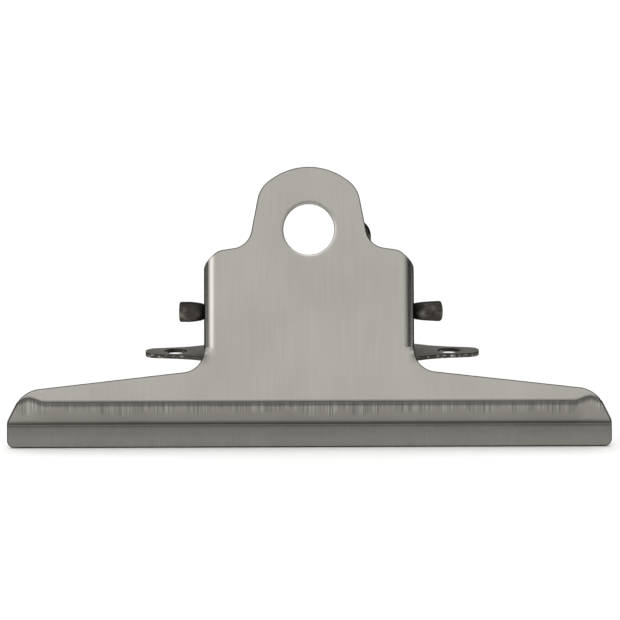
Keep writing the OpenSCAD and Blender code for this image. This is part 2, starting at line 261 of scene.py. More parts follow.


# Brushed stainless gives the eye an even warm grey whose hairlines only show as a faint
# grain up the face. Painted shade darkens it in and between the jaw's two creases, on the
# step and the lip, and in a band round each flange's bend, and fine rub marks run down
# from the first crease. Its sheared edges are bright inside a rim of painted shade.
@dataclass(frozen=True)
class BrushedStainless(Metal):
    """Cold-rolled stainless sheet, belt-brushed up the face and then pressed."""

    name: str = "brushed_stainless_sheet"
    light: str = "#d5d1ca"
    dark: str = "#c7c3bc"
    # Colour of the painted shade on the rolled rims
    rim_shade: str = "#35322f"
    cut: str = "#f4f2ee"
    roughness: float = 0.24
    rough_change: tuple[float, float] = (-0.03, 0.05)
    relief: tuple[float, float] = (0.12, 0.02)
    anisotropy: float = 0.35
    # Share of the grazing reflection that steel keeps
    edge_tint: str = "#8f8d89"
    # Real hairlines are near 0.1 mm wide, too fine for the render, so they are drawn wider
    hairline: tuple[float, float, float] = (0.4, 16.0, 1.0)
    cloud: tuple[float, float, float] = (18.0, 24.0, 1.0)
    # Weight of the hairlines beside the clouds, and the sums that are darkest and lightest
    hairline_weight: float = 0.5
    tone_span: tuple[float, float] = (0.45, 1.05)
    scratch: tuple[float, float, float] = (0.3, 60.0, 1.0)
    cluster: tuple[float, float, float] = (4.0, 60.0, 1.0)
    # One band of painted shade in each crease
    crease_shades: tuple[CreaseShadeBand, ...] = (CreaseShadeBand(0.4, 1.0, 0.6), CreaseShadeBand(6.75, 1.4, 0.8))
    # Where the step begins and ends down the fold, and the softness of both ends
    step_ends: tuple[float, float] = (0.0, 6.9)
    step_edge: float = 0.6
    # Brightness that painted shade leaves on the step, and on the lip from its top to its edge
    step_painted_shade: float = 0.46
    lip_painted_shade: tuple[float, float] = (0.61, 0.83)
    lip_run: float = 4.0
    # Rub marks run this far down the step, and change its brightness by this share
    rub_run: tuple[float, float] = (1.6, 4.4)
    rub_depth: float = 0.32
    # Where they fade in down the fold, and where each one fades out past its own end
    rub_start: tuple[float, float] = (-0.1, 0.7)
    rub_fade: tuple[float, float] = (-1.2, 0.6)
    # Cluster noise that gives the shortest marks and the longest, then the faintest and the
    # strongest, and the share of its strength that the faintest keeps
    run_noise: tuple[float, float] = (0.3, 0.7)
    strength_noise: tuple[float, float] = (0.35, 0.6)
    faintest: float = 0.7
    # Scratch noise that gives the darkest marks and the brightest
    scratch_noise: tuple[float, float] = (0.36, 0.66)
    # Share of the brightness that painted shade takes round each flange's bend, where it is darkest
    bend_shade_loss: float = 0.95

    def shade(self, tree: bpy.types.NodeTree) -> bpy.types.NodeSocket:
        """Add hairlines, soft clouding, the fold's painted shade, rub marks, sheared edges and
        painted shade on the rims.
        """
        flat = add_node(tree, "ShaderNodeUVMap", {"uv_map": FLAT_MAP})
        hairlines = self.pattern(tree, flat, FLAT_UNIT, self.hairline, 3.0)
        clouds = self.pattern(tree, flat, FLAT_UNIT, self.cloud)
        toned = add_node(
            tree, "ShaderNodeMath", {"operation": "MULTIPLY_ADD", 1: self.hairline_weight},
            {0: hairlines, 2: clouds},
        )
        darkest, lightest = self.tone_span
        tone = add_node(
            tree, "ShaderNodeMapRange", {"From Min": darkest, "From Max": lightest},
            {"Value": toned},
        )
        sheet = add_node(
            tree, "ShaderNodeMix",
            {"data_type": "RGBA", 6: linear(self.dark), 7: linear(self.light)}, {0: tone}, 2,
        )
        colour = add_node(
            tree, "ShaderNodeVectorMath", {"operation": "SCALE"},
            {0: sheet, "Scale": self.painted_fold_shade_and_rubs(tree, flat)},
        )
        # Sheared walls get their bright colour, and the rolled rims painted shade
        for edge, tint in ((SHEARED, self.cut), (PAINTED_RIM_SHADE, self.rim_shade)):
            share = add_node(tree, "ShaderNodeAttribute", {"attribute_name": edge}, out="Fac")
            colour = add_node(
                tree, "ShaderNodeMix", {"data_type": "RGBA", 7: linear(tint)},
                {0: share, 6: colour}, 2,
            )
        across = add_node(
            tree, "ShaderNodeTangent", {"direction_type": "UV_MAP", "uv_map": FLAT_MAP}
        )
        return self.metal(
            tree, colour, hairlines, hairlines,
            {"Anisotropic": self.anisotropy, "Specular Tint": linear(self.edge_tint)},
            {"Tangent": across},
        )

    def painted_fold_shade_and_rubs(
        self, tree: bpy.types.NodeTree, flat: bpy.types.NodeSocket
    ) -> bpy.types.NodeSocket:
        """Add the painted shade of the step, the lip, the creases and the flanges' bends, and the
        rub marks.

        Args:
            tree: The tree that gets the nodes.
            flat: The sheet's flat coordinates.

        Returns:
            The factor for the sheet's colour.
        """
        place = add_node(tree, "ShaderNodeAttribute", {"attribute_name": FOLD_PLACE}, out="Fac")
        # Painted shade darkens the step, and the lip less towards its edge
        on_step, past_step = (
            add_node(
                tree, "ShaderNodeMapRange",
                {"interpolation_type": "SMOOTHSTEP", "From Min": end - self.step_edge,
                 "From Max": end + self.step_edge}, {"Value": place},
            )
            for end in self.step_ends
        )
        lip = add_node(
            tree, "ShaderNodeMapRange",
            {"From Min": self.step_ends[1], "From Max": self.step_ends[1] + self.lip_run,
             "To Min": self.lip_painted_shade[0], "To Max": self.lip_painted_shade[1]}, {"Value": place},
        )
        level = add_node(
            tree, "ShaderNodeMix", {"data_type": "FLOAT", 2: 1.0, 3: self.step_painted_shade}, {0: on_step}
        )
        level = add_node(
            tree, "ShaderNodeMix", {"data_type": "FLOAT"}, {0: past_step, 2: level, 3: lip}
        )
        # Painted shade in each crease
        for crease_shade in self.crease_shades:
            off = add_node(
                tree, "ShaderNodeMath", {"operation": "SUBTRACT", 1: crease_shade.middle}, {0: place}
            )
            away = add_node(tree, "ShaderNodeMath", {"operation": "ABSOLUTE"}, {0: off})
            kept = add_node(
                tree, "ShaderNodeMapRange",
                {"interpolation_type": "SMOOTHSTEP", "From Min": 0.0, "From Max": crease_shade.reach,
                 "To Min": 1.0 - crease_shade.loss, "To Max": 1.0}, {"Value": away},
            )
            level = add_node(tree, "ShaderNodeMath", {"operation": "MULTIPLY"}, {0: level, 1: kept})
        rub = self.rub_marks(tree, flat, place)
        level = add_node(
            tree, "ShaderNodeMath", {"operation": "MULTIPLY_ADD"}, {0: level, 1: rub, 2: level}
        )
        # Painted shade round each flange's bend
        bend_shade_share = add_node(tree, "ShaderNodeAttribute", {"attribute_name": PAINTED_BEND_SHADE}, out="Fac")
        kept = add_node(
            tree, "ShaderNodeMath", {"operation": "MULTIPLY_ADD", 1: -self.bend_shade_loss, 2: 1.0},
            {0: bend_shade_share},
        )
        return add_node(tree, "ShaderNodeMath", {"operation": "MULTIPLY"}, {0: level, 1: kept})

    def rub_marks(
        self, tree: bpy.types.NodeTree, flat: bpy.types.NodeSocket, place: bpy.types.NodeSocket
    ) -> bpy.types.NodeSocket:
        """Add the rub marks that run down from the first crease and end unevenly.

        Args:
            tree: The tree that gets the nodes.
            flat: The sheet's flat coordinates.
            place: How far down the fold a point lies.

        Returns:
            What they change the brightness by, as a share.
        """
        scratches = self.pattern(tree, flat, FLAT_UNIT, self.scratch, 1.0)
        clusters = self.pattern(tree, flat, FLAT_UNIT, self.cluster, 1.0)
        begun = add_node(
            tree, "ShaderNodeMapRange",
            {"interpolation_type": "SMOOTHSTEP", "From Min": self.rub_start[0],
             "From Max": self.rub_start[1]}, {"Value": place},
        )
        reach = add_node(
            tree, "ShaderNodeMapRange",
            {"From Min": self.run_noise[0], "From Max": self.run_noise[1],
             "To Min": self.rub_run[0], "To Max": self.rub_run[1]}, {"Value": clusters},
        )
        past = add_node(tree, "ShaderNodeMath", {"operation": "SUBTRACT"}, {0: place, 1: reach})
        ended = add_node(
            tree, "ShaderNodeMapRange",
            {"interpolation_type": "SMOOTHSTEP", "From Min": self.rub_fade[0],
             "From Max": self.rub_fade[1], "To Min": 1.0, "To Max": 0.0}, {"Value": past},
        )
        strength = add_node(
            tree, "ShaderNodeMapRange",
            {"From Min": self.strength_noise[0], "From Max": self.strength_noise[1],
             "To Min": self.faintest}, {"Value": clusters},
        )
        rub = add_node(
            tree, "ShaderNodeMapRange",
            {"From Min": self.scratch_noise[0], "From Max": self.scratch_noise[1],
             "To Min": -self.rub_depth, "To Max": self.rub_depth}, {"Value": scratches},
        )
        for mask in (begun, ended, strength):
            rub = add_node(tree, "ShaderNodeMath", {"operation": "MULTIPLY"}, {0: rub, 1: mask})
        return rub


# Mill finish gives the eye a flatter, darker grey than brushed sheet, without a direction.
@dataclass(frozen=True)
class MillFinish(Metal):
    """Stainless sheet as it leaves the mill, unbrushed, with sheared edges."""

    name: str = "mill_finish_stainless"
    light: str = "#94918c"
    dark: str = "#807d79"
    # Colour of the painted shade on the rolled rims
    rim_shade: str = "#1e1c1a"
    torn: str = "#57544f"
    burnished: str = "#dedbd5"
    edge_tint: str = "#c4c2be"
    roughness: float = 0.42
    rough_change: tuple[float, float] = (-0.05, 0.08)
    relief: tuple[float, float] = (0.2, 0.02)
    blotch: tuple[float, float, float] = (2.6, 2.6, 2.6)
    grain: tuple[float, float, float] = (0.35, 0.35, 0.35)
    # Weight of the grain beside the blotches, and the sums that are darkest and lightest
    grain_weight: float = 0.4
    tone_span: tuple[float, float] = (0.45, 0.95)
    # Sheared edges are burnished and torn in turns about this long, by this noise
    tear: tuple[float, float, float] = (1.1, 0.9, 0.6)
    tear_noise: tuple[float, float] = (0.54, 0.74)

    def shade(self, tree: bpy.types.NodeTree) -> bpy.types.NodeSocket:
        """Add soft blotches, a fine grain, mottled sheared edges and painted shade on the rims."""
        place = add_node(tree, "ShaderNodeTexCoord", out="Object")
        blotches = self.pattern(tree, place, 1 / MM, self.blotch, 3.0)
        grains = self.pattern(tree, place, 1 / MM, self.grain)
        toned = add_node(
            tree, "ShaderNodeMath", {"operation": "MULTIPLY_ADD", 1: self.grain_weight},
            {0: grains, 2: blotches},
        )
        darkest, lightest = self.tone_span
        tone = add_node(
            tree, "ShaderNodeMapRange", {"From Min": darkest, "From Max": lightest},
            {"Value": toned},
        )
        sheet = add_node(
            tree, "ShaderNodeMix",
            {"data_type": "RGBA", 6: linear(self.dark), 7: linear(self.light)}, {0: tone}, 2,
        )
        torn_to, burnished_from = self.tear_noise
        tears = add_node(
            tree, "ShaderNodeMapRange", {"From Min": torn_to, "From Max": burnished_from},
            {"Value": self.pattern(tree, place, 1 / MM, self.tear)},
        )
        wall = add_node(
            tree, "ShaderNodeMix",
            {"data_type": "RGBA", 6: linear(self.torn), 7: linear(self.burnished)}, {0: tears}, 2,
        )
        cut = add_node(tree, "ShaderNodeAttribute", {"attribute_name": SHEARED}, out="Fac")
        edged = add_node(
            tree, "ShaderNodeMix", {"data_type": "RGBA"}, {0: cut, 6: sheet, 7: wall}, 2
        )
        # Painted shade along the rolled rims
        rim_shade = add_node(tree, "ShaderNodeAttribute", {"attribute_name": PAINTED_RIM_SHADE}, out="Fac")
        colour = add_node(
            tree, "ShaderNodeMix", {"data_type": "RGBA", 7: linear(self.rim_shade)}, {0: rim_shade, 6: edged}, 2
        )
        return self.metal(
            tree, colour, blotches, grains, {"Specular Tint": linear(self.edge_tint)}
        )


# Squeezed wire gives the eye black scale, and dull bruised steel where the press bit.
@dataclass(frozen=True)
class SqueezedWire(Metal):
    """Dark drawn wire whose ends were squeezed flat, bruising their scale."""

    name: str = "squeezed_drawn_wire"
    scale: str = "#12110f"
    light: str = "#7d7973"
    dark: str = "#413d39"
    roughness: float = 0.42
    rough_change: tuple[float, float] = (0.1, -0.1)
    relief: tuple[float, float] = (0.5, 0.06)
    # Noise that gives the darkest bruises and the lightest
    bruise_noise: tuple[float, float] = (0.4, 0.85)
    bruise: tuple[float, float, float] = (2.4, 2.4, 1.5)
    dent: tuple[float, float, float] = (0.5, 0.5, 0.5)

    def shade(self, tree: bpy.types.NodeTree) -> bpy.types.NodeSocket:
        """Add bruised patches and small dents."""
        place = add_node(tree, "ShaderNodeTexCoord", out="Object")
        bruises = self.pattern(tree, place, 1 / MM, self.bruise, 3.0)
        dents = self.pattern(tree, place, 1 / MM, self.dent)
        tone = add_node(
            tree, "ShaderNodeMapRange",
            {"interpolation_type": "SMOOTHSTEP", "From Min": self.bruise_noise[0],
             "From Max": self.bruise_noise[1]}, {"Value": bruises},
        )
        steel = add_node(
            tree, "ShaderNodeMix",
            {"data_type": "RGBA", 6: linear(self.dark), 7: linear(self.light)}, {0: tone}, 2,
        )
        bitten = add_node(tree, "ShaderNodeAttribute", {"attribute_name": BITTEN}, out="Fac")
        colour = add_node(
            tree, "ShaderNodeMix", {"data_type": "RGBA", 6: linear(self.scale)},
            {0: bitten, 7: steel}, 2,
        )
        return self.metal(tree, colour, bruises, dents)


# Oiled spring wire gives the eye a nearly black steel with a thin bright line of gloss.
@dataclass(frozen=True)
class OiledSpringWire(Metal):
    """Hard-drawn spring wire, dark and lightly oiled."""

    name: str = "oiled_spring_wire"
    light: str = "#6a6762"
    dark: str = "#4a4743"
    roughness: float = 0.3
    rough_change: tuple[float, float] = (-0.08, 0.1)
    relief: tuple[float, float] = (0.15, 0.02)
    patch: tuple[float, float, float] = (1.8, 1.8, 1.8)
    draw_line: tuple[float, float, float] = (0.25, 0.6, 0.6)

    def shade(self, tree: bpy.types.NodeTree) -> bpy.types.NodeSocket:
        """Add patches of oil and the fine lines that drawing leaves."""
        place = add_node(tree, "ShaderNodeTexCoord", out="Object")
        patches = self.pattern(tree, place, 1 / MM, self.patch)
        lines = self.pattern(tree, place, 1 / MM, self.draw_line)
        colour = add_node(
            tree, "ShaderNodeMix",
            {"data_type": "RGBA", 6: linear(self.dark), 7: linear(self.light)}, {0: patches}, 2,
        )
        return self.metal(tree, colour, patches, lines)


# Matt studio paper gives the eye a clean pale ground with no gloss.
@dataclass(frozen=True)
class StudioPaper(Finish):
    """The matt white paper that the clip stands on."""

    name: str = "matt_studio_paper"
    light: str = "#fbfbfa"
    dark: str = "#f7f7f6"
    roughness: float = 0.9
    gloss: float = 0.1
    fibre: tuple[float, float, float] = (6.0, 6.0, 6.0)

    def shade(self, tree: bpy.types.NodeTree) -> bpy.types.NodeSocket:
        """Add a barely visible unevenness of the paper."""
        place = add_node(tree, "ShaderNodeTexCoord", out="Object")
        fibres = self.pattern(tree, place, 1 / MM, self.fibre)
        colour = add_node(
            tree, "ShaderNodeMix",
            {"data_type": "RGBA", 6: linear(self.dark), 7: linear(self.light)}, {0: fibres}, 2,
        )
        return add_node(
            tree, "ShaderNodeBsdfPrincipled",
            {"Roughness": self.roughness, "Specular IOR Level": self.gloss},
            {"Base Color": colour},
        )


def place_piece(
    bm: bmesh.types.BMesh, name: str, node: str, material: bpy.types.Material
) -> bpy.types.Object:
    """Turn a finished shape in millimetres into a piece that stands for a CAD node.

    Args:
        bm: The shape, which is freed.
        name: The piece's name.
        node: The CAD node that it replaces.
        material: The piece's material.

    Returns:
        The new object, at the origin, with its place in its mesh.
    """
    bmesh.ops.scale(bm, vec=Vector((MM, MM, MM)), verts=bm.verts)
    bmesh.ops.recalc_face_normals(bm, faces=bm.faces)
    for face in bm.faces:
        face.smooth = True
    mesh = bpy.data.meshes.new(name)
    bm.to_mesh(mesh)
    bm.free()
    mesh.materials.append(material)
    piece = bpy.data.objects.new(name, mesh)
    bpy.context.scene.collection.objects.link(piece)
    even = piece.modifiers.new("even_shading", "WEIGHTED_NORMAL")
    even.mode = "FACE_AREA"
    even.weight = 100
    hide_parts(node)
    LOG.info("%s: %d faces, stands for %s", name, len(mesh.polygons), node)
    return piece


@dataclass(frozen=True)
class Corner:
    """One corner of a blank's outline, rounded by a radius."""

    x: float
    y: float
    radius: float = 0.0

    def at(self) -> Vector:
        """Return the corner's place in the blank's plane."""
        return Vector((self.x, self.y, 0.0))

    def flipped(self) -> "Corner":
        """Return the same corner on the other side, left to right."""
        return Corner(-self.x, self.y, self.radius)


@dataclass(frozen=True)
class Hole:
    """A round hole in a blank, with the width and dip of the rollover at its front rim."""

    x: float
    y: float
    radius: float
    rollover: float
    dip: float
    # How far past the rollover a point still counts as on it
    slack: float = 0.02

    def near(self, place: Vector) -> bool:
        """Tell whether a point lies on the hole's wall or its rollover."""
        reach = self.radius + self.rollover + self.slack
        return (place.xy - Vector((self.x, self.y))).length < reach


@dataclass
class Blank:
    """A sheet before it is bent: outlines, round holes, thickness and sheared rims.

    The blank lies in the X-Y plane, and its thickness runs up Z from 0.
    """

    outlines: Sequence[Sequence[Corner]]
    holes: Sequence[Hole]
    thickness: float
    rollover: float
    # Tells which points keep a sharp rim
    sharp: Callable[[Vector], bool]
    # Fewest steps round an outline's corner
    fewest_steps: int = 4
    # Segments of a hole's own rollover, and of any other rim
    hole_segments: int = 6
    rim_segments: int = 3
    # Slack in heights, in angles, and in the upright part of a face's normal
    slack: float = 0.001
    # A face is dressed as a wall where its normal is less upright than the first of these,
    # and as a flat side where it is more upright than the second by a hole, or the third
    wall_upright: float = 0.05
    dished_upright: float = 0.93
    side_upright: float = 0.98

    def trace(self, bm: bmesh.types.BMesh, corners: Sequence[Corner]) -> None:
        """Draw a closed outline, spinning each rounded corner about its centre.

        Args:
            bm: The mesh that gets the outline.
            corners: The outline's corners, in order.
        """
        ends: list[tuple[bmesh.types.BMVert, bmesh.types.BMVert]] = []
        for i, corner in enumerate(corners):
            here = corner.at()
            if corner.radius == 0.0:
                vert = bm.verts.new(here)
                ends.append((vert, vert))
                continue
            back = (corners[i - 1].at() - here).normalized()
            ahead = (corners[(i + 1) % len(corners)].at() - here).normalized()
            half = back.angle(ahead) / 2
            centre = here + (back + ahead).normalized() * corner.radius / math.sin(half)
            sweep = math.copysign(math.pi - 2 * half, -back.cross(ahead).z)
            first = bm.verts.new(here + back * corner.radius / math.tan(half))
            turned = bmesh.ops.spin(
                bm, geom=[first], cent=centre, axis=Vector((0.0, 0.0, 1.0)), angle=sweep,
                steps=max(self.fewest_steps, math.ceil(abs(sweep) * corner.radius / ARC_STEP)),
                use_duplicate=False,
            )
            last = next(v for v in turned["geom_last"] if isinstance(v, bmesh.types.BMVert))
            ends.append((first, last))
        for here_ends, next_ends in zip(ends, ends[1:] + ends[:1]):
            bm.edges.new((here_ends[1], next_ends[0]))

    def cut(self) -> bmesh.types.BMesh:
        """Cut the blank out of the sheet and round its rims.

        Returns:
            The flat blank as a closed solid, with its flat coordinates and rollover kept
            on its faces.
        """
        bm = bmesh.new()
        for corners in self.outlines:
            self.trace(bm, corners)
        for hole in self.holes:
            bmesh.ops.create_circle(
                bm, radius=hole.radius, segments=math.ceil(2 * math.pi * hole.radius / ARC_STEP),
                matrix=Matrix.Translation((hole.x, hole.y, 0.0)),
            )
        bmesh.ops.triangle_fill(
            bm, use_beauty=True, edges=bm.edges[:], normal=Vector((0.0, 0.0, 1.0))
        )
        bmesh.ops.dissolve_limit(
            bm, angle_limit=self.slack, verts=bm.verts[:], edges=bm.edges[:]
        )
        pulled = bmesh.ops.extrude_face_region(bm, geom=bm.faces[:])
        raised = [v for v in pulled["geom"] if isinstance(v, bmesh.types.BMVert)]
        bmesh.ops.translate(bm, vec=Vector((0.0, 0.0, self.thickness)), verts=raised)
        bmesh.ops.recalc_face_normals(bm, faces=bm.faces[:])
        bm.normal_update()
        self.roll_rims(bm)
        self.keep_flat_map(bm)
        return bm

    def roll_rims(self, bm: bmesh.types.BMesh) -> None:
        """Round the rims, wider at the front of each hole that has its own rollover."""
        for hole in self.holes:
            front = [
                e for e in self.rims(bm)
                if all(hole.near(v.co) and v.co.z > self.thickness / 2 for v in e.verts)
            ]
            self.round_edges(bm, front, hole.rollover, self.hole_segments)
            for vert in bm.verts:
                if hole.near(vert.co) and vert.co.z > self.slack:
                    below = (self.thickness - vert.co.z) * hole.dip / hole.rollover
                    vert.co.z = self.thickness - below
        bm.normal_update()
        others = [e for e in self.rims(bm) if not all(self.sharp(v.co) for v in e.verts)]
        self.round_edges(bm, others, self.rollover, self.rim_segments)

    def rims(self, bm: bmesh.types.BMesh) -> list[bmesh.types.BMEdge]:
        """Return the edges where a flat side meets a sheared wall."""
        return [
            e for e in bm.edges
            if len(e.link_faces) == 2
            and sum(abs(f.normal.z) > 1 - self.slack for f in e.link_faces) == 1
            and min(abs(f.normal.z) for f in e.link_faces) < self.slack
        ]

    @staticmethod
    def round_edges(
        bm: bmesh.types.BMesh, edges: list[bmesh.types.BMEdge], radius: float, segments: int
    ) -> None:
        """Round edges by a radius, in a few segments."""
        bmesh.ops.bevel(
            bm, geom=edges, offset=radius, offset_type="OFFSET", segments=segments, profile=0.5,
            affect="EDGES", clamp_overlap=False, material=-1,
        )

    def keep_flat_map(self, bm: bmesh.types.BMesh) -> None:
        """Keep each point's flat place as a UV map, and mark sheared walls and the rims that get
        painted shade.
        """
        flat = bm.loops.layers.uv.new(FLAT_MAP)
        rim_shaded = bm.faces.layers.float.new(PAINTED_RIM_SHADE)
        sheared = bm.faces.layers.float.new(SHEARED)
        bm.normal_update()
        for face in bm.faces:
            upright = abs(face.normal.z)
            dished = any(hole.near(face.calc_center_median()) for hole in self.holes)
            side_from = self.dished_upright if dished else self.side_upright
            # Rolled rims get painted shade
            face[rim_shaded] = float(self.wall_upright < upright < side_from)
            face[sheared] = float(upright < self.wall_upright)
            for loop in face.loops:
                loop[flat].uv = loop.vert.co.xy / FLAT_UNIT


def score(bm: bmesh.types.BMesh, axis: int, places: Iterable[float]) -> None:
    """Cut a flat blank across at each place, so that it can bend there.

    Args:
        bm: The blank.
        axis: 0 to cut across X, 1 to cut across Y.
        places: Where to cut, in millimetres.
    """
    normal = Vector((1.0, 0.0, 0.0)) if axis == 0 else Vector((0.0, 1.0, 0.0))
    for place in places:
        bmesh.ops.bisect_plane(
            bm, geom=bm.verts[:] + bm.edges[:] + bm.faces[:], dist=1e-5, plane_co=normal * place,
            plane_no=normal,
        )


def steps(first: float, last: float, count: int) -> list[float]:
    """Return evenly spaced values from first to last, both included."""
    return [first + (last - first) * i / count for i in range(count + 1)]


def smooth(value: float, low: float, high: float) -> float:
    """Return how far a value has gone from low to high, eased at both ends."""
    part = min(1.0, max(0.0, (value - low) / (high - low)))
    return part * part * (3 - 2 * part)


@dataclass
class Lever:
    """The pressed lever: tongue, body, two flanges, and the stepped jaw.

    Its own frame has u in front of the axle and v up the face.
    """

    thickness: float = SHEET_THICKNESS
    face_gap: float = FACE_GAP
    rest_angle: float = REST_ANGLE
    shift: float = 0.8
    axle_height: float = AXLE_HEIGHT
    tongue_top: float = 35.3
    crown_radius: float = 15.6
    crown_half: float = 8.9
    corner_radius: float = 7.4
    tongue_half: float = 12.1
    tongue_flare: float = 11.0
    neck_radius: float = 5.1
    shoulder_x: float = 22.5
    shoulder_v: float = 14.5
    shoulder_rise: float = 1.1
    shoulder_radius: float = 3.6
    hang_radius: float = 6.3
    hang_v: float = 19.7
    hang_rollover: float = 1.3
    hang_dip: float = 0.24
    body_half: float = 26.05
    bend_inner: float = 2.0
    flange_top: float = 10.2
    flange_shoulder: float = 8.0
    flange_bottom: float = 9.6
    flange_radius: float = 4.8
    bore_radius: float = BORE_RADIUS
    slit: float = 0.08
    # Below the slit the sheet still curls back a little, and less further down
    curl: float = 11.0
    curl_run: float = 2.4
    # Painted shade on a flange's bend is darkest this far round it, and fades over this far to
    # both sides. It runs out this far below the slit
    bend_shade_middle: float = 3.2
    bend_shade_reach: float = 2.0
    bend_shade_run: float = 5.0
    wing_v: float = 15.2
    wing_fall: float = 5.1
    root_radius: float = 5.6
    jaw_half: float = 75.0
    # The jaw's ends slant out from their upper corners, and turn upright at the second crease
    end_radius: float = 7.5
    end_in: float = 3.8
    end_side_radius: float = 3.0
    crease_v: float = 23.0
    crease_radius: float = 1.0
    step_angle: float = 45.0
    step_length: float = 5.6
    lip_bend: float = 1.6
    lip_angle: float = 8.0
    lip_length: float = 5.4
    lip_corner: float = 1.8
    # The first crease climbs a little near the jaw's ends, where the press tool stops, and
    # falls back by a share of that at the rim
    end_rise: float = 1.1
    rise_from: float = 65.5
    rise_to: float = 69.5
    rise_end: float = 72.5
    fall_share: float = 0.7
    # Height above the first crease from which the sheet is scored across
    crease_lead: float = 2.2
    # How far past a flange's bend it is scored, from and to
    past_bend: tuple[float, float] = (0.5, 2.0)
    # Steps between scores: over the first crease, below the slit, over the second crease,
    # round a flange's bend, past it, and over the climb at the jaw's ends
    crease_steps: int = 28
    curl_steps: int = 16
    lip_steps: int = 8
    bend_steps: int = 12
    flange_steps: int = 3
    rise_steps: int = 14
    # Slack for finding the slit's points, and between the slit and the first score below it
    slit_slack: float = 0.01
    score_slack: float = 0.02
    rollover: float = 0.22
    finish: Finish = BrushedStainless()

    @property
    def bend_x(self) -> float:
        """Where the flanges' bends begin, from the middle."""
        return self.body_half - self.bend_inner - self.thickness

    @property
    def bend_depth(self) -> float:
        """How far in front of the axle the flanges' bends have their centres."""
        return self.face_gap - self.bend_inner

    @property
    def bend_length(self) -> float:
        """Length of a flange's bend, along the middle of the sheet."""
        return math.pi / 2 * (self.bend_inner + self.thickness / 2)

    @property
    def axle_x(self) -> float:
        """Where the axle's centre lies on the flat blank."""
        return self.bend_x + self.bend_length + self.bend_depth

    @property
    def first_arc(self) -> float:
        """Length of the first crease, along the middle of the sheet."""
        return self.crease_radius * math.radians(self.step_angle)

    @property
    def second_arc(self) -> float:
        """Length of the second crease, along the middle of the sheet."""
        return self.lip_bend * math.radians(self.step_angle - self.lip_angle)

    def flange_apex(self) -> Corner:
        """Return the corner that the flange's two straight edges would meet in."""
        top = Vector((self.bend_depth, self.flange_top))
        bottom = Vector((self.bend_depth, -self.flange_bottom))
        from_top = math.atan2(top.y, top.x) + math.acos(self.flange_radius / top.length)
        from_bottom = math.atan2(bottom.y, bottom.x) - math.acos(self.flange_radius / bottom.length)
        from_bottom += 2 * math.pi
        middle = (from_top + from_bottom) / 2
        reach = self.flange_radius / math.cos((from_bottom - from_top) / 2)
        return Corner(
            self.axle_x - reach * math.cos(middle), reach * math.sin(middle), self.flange_radius
        )

    def outline(self) -> list[Corner]:
        """Return the blank's outline, down the right side and back up the left."""
        tilt = math.asin(self.crown_half / self.crown_radius)
        apex = self.tongue_top - self.crown_radius + self.crown_radius / math.cos(tilt)
        shoulder_y = apex - self.tongue_half * math.tan(tilt)
        neck_v = self.shoulder_v + self.shoulder_rise
        flare = math.tan(math.radians(self.tongue_flare))
        neck_x = self.tongue_half + (shoulder_y - neck_v) * flare
        second_crease = -self.crease_v - self.first_arc - self.step_length
        jaw_tip = second_crease - self.second_arc - self.lip_length
        bent = self.bend_x + self.bend_length
        right = [
            Corner(self.tongue_half, shoulder_y, self.corner_radius),
            Corner(neck_x, neck_v, self.neck_radius),
            Corner(self.shoulder_x, self.shoulder_v, self.shoulder_radius),
            Corner(bent, self.flange_top, self.flange_shoulder),
            self.flange_apex(),
            Corner(bent, -self.flange_bottom),
            Corner(self.bend_x, -self.flange_bottom),
            Corner(self.bend_x, -self.flange_bottom - self.slit),
            Corner(self.body_half, -self.flange_bottom - self.slit),
            Corner(self.body_half, -self.wing_v, self.root_radius),
            Corner(self.jaw_half - self.end_in, -self.wing_v - self.wing_fall, self.end_radius),
            Corner(self.jaw_half, second_crease, self.end_side_radius),
            Corner(self.jaw_half, jaw_tip, self.lip_corner),
        ]
        left = [c.flipped() for c in reversed(right)]
        return [Corner(0.0, apex, self.crown_radius)] + right + left

    def in_slit(self, place: Vector) -> bool:
        """Tell whether a point lies on the slit that frees a flange's lower end."""
        on_line = abs(place.y + self.flange_bottom + self.slit / 2) < self.slit
        near = self.bend_x - self.slit_slack
        far = self.bend_x + self.bend_length + self.slit_slack
        return on_line and near < abs(place.x) < far

    def rise(self, x: float) -> float:
        """Return how far the first crease has climbed at a distance along the jaw."""
        fallen = self.fall_share * smooth(abs(x), self.rise_to, self.rise_end)
        return self.end_rise * smooth(abs(x), self.rise_from, self.rise_to) * (1 - fallen)

    def fold(self, x: float, down: float) -> tuple[float, float, float]:
        """Follow the jaw's fold down the middle of the sheet.

        Args:
            x: Distance along the jaw from the middle.
            down: Distance down the flat sheet from the first crease.

        Returns:
            The depth in front of the axle, the height above it, and the sheet's angle.
        """
        face = self.face_gap + self.thickness / 2
        full = math.radians(self.step_angle)
        last = math.radians(self.lip_angle)
        rise = self.rise(x)
        depth = self.step_length * math.sin(full)
        drop = self.step_length * math.cos(full) + rise
        angle = math.atan2(depth, drop)
        if down <= -rise:
            return face, -self.crease_v - down, 0.0
        if down < self.first_arc - rise:
            a = angle * (down + rise) / self.first_arc
            return (
                face - self.crease_radius * (1 - math.cos(a)),
                -self.crease_v + rise - self.crease_radius * math.sin(a),
                a,
            )
        start = Vector((
            face - self.crease_radius * (1 - math.cos(angle)),
            -self.crease_v + rise - self.crease_radius * math.sin(angle),
        ))
        end = Vector((
            face - self.crease_radius * (1 - math.cos(full)) - depth,
            -self.crease_v - self.crease_radius * math.sin(full)
            - self.step_length * math.cos(full),
        ))
        step_from = self.first_arc - rise
        step_to = self.first_arc + self.step_length
        if down < step_to:
            place = start.lerp(end, (down - step_from) / (step_to - step_from))
            return place.x, place.y, angle
        a = full - min(1.0, (down - step_to) / self.second_arc) * (full - last)
        turned = end + self.lip_bend * Vector((
            math.cos(full) - math.cos(a), math.sin(a) - math.sin(full)
        ))
        rest = max(0.0, down - step_to - self.second_arc)
        return turned.x - rest * math.sin(a), turned.y - rest * math.cos(a), a

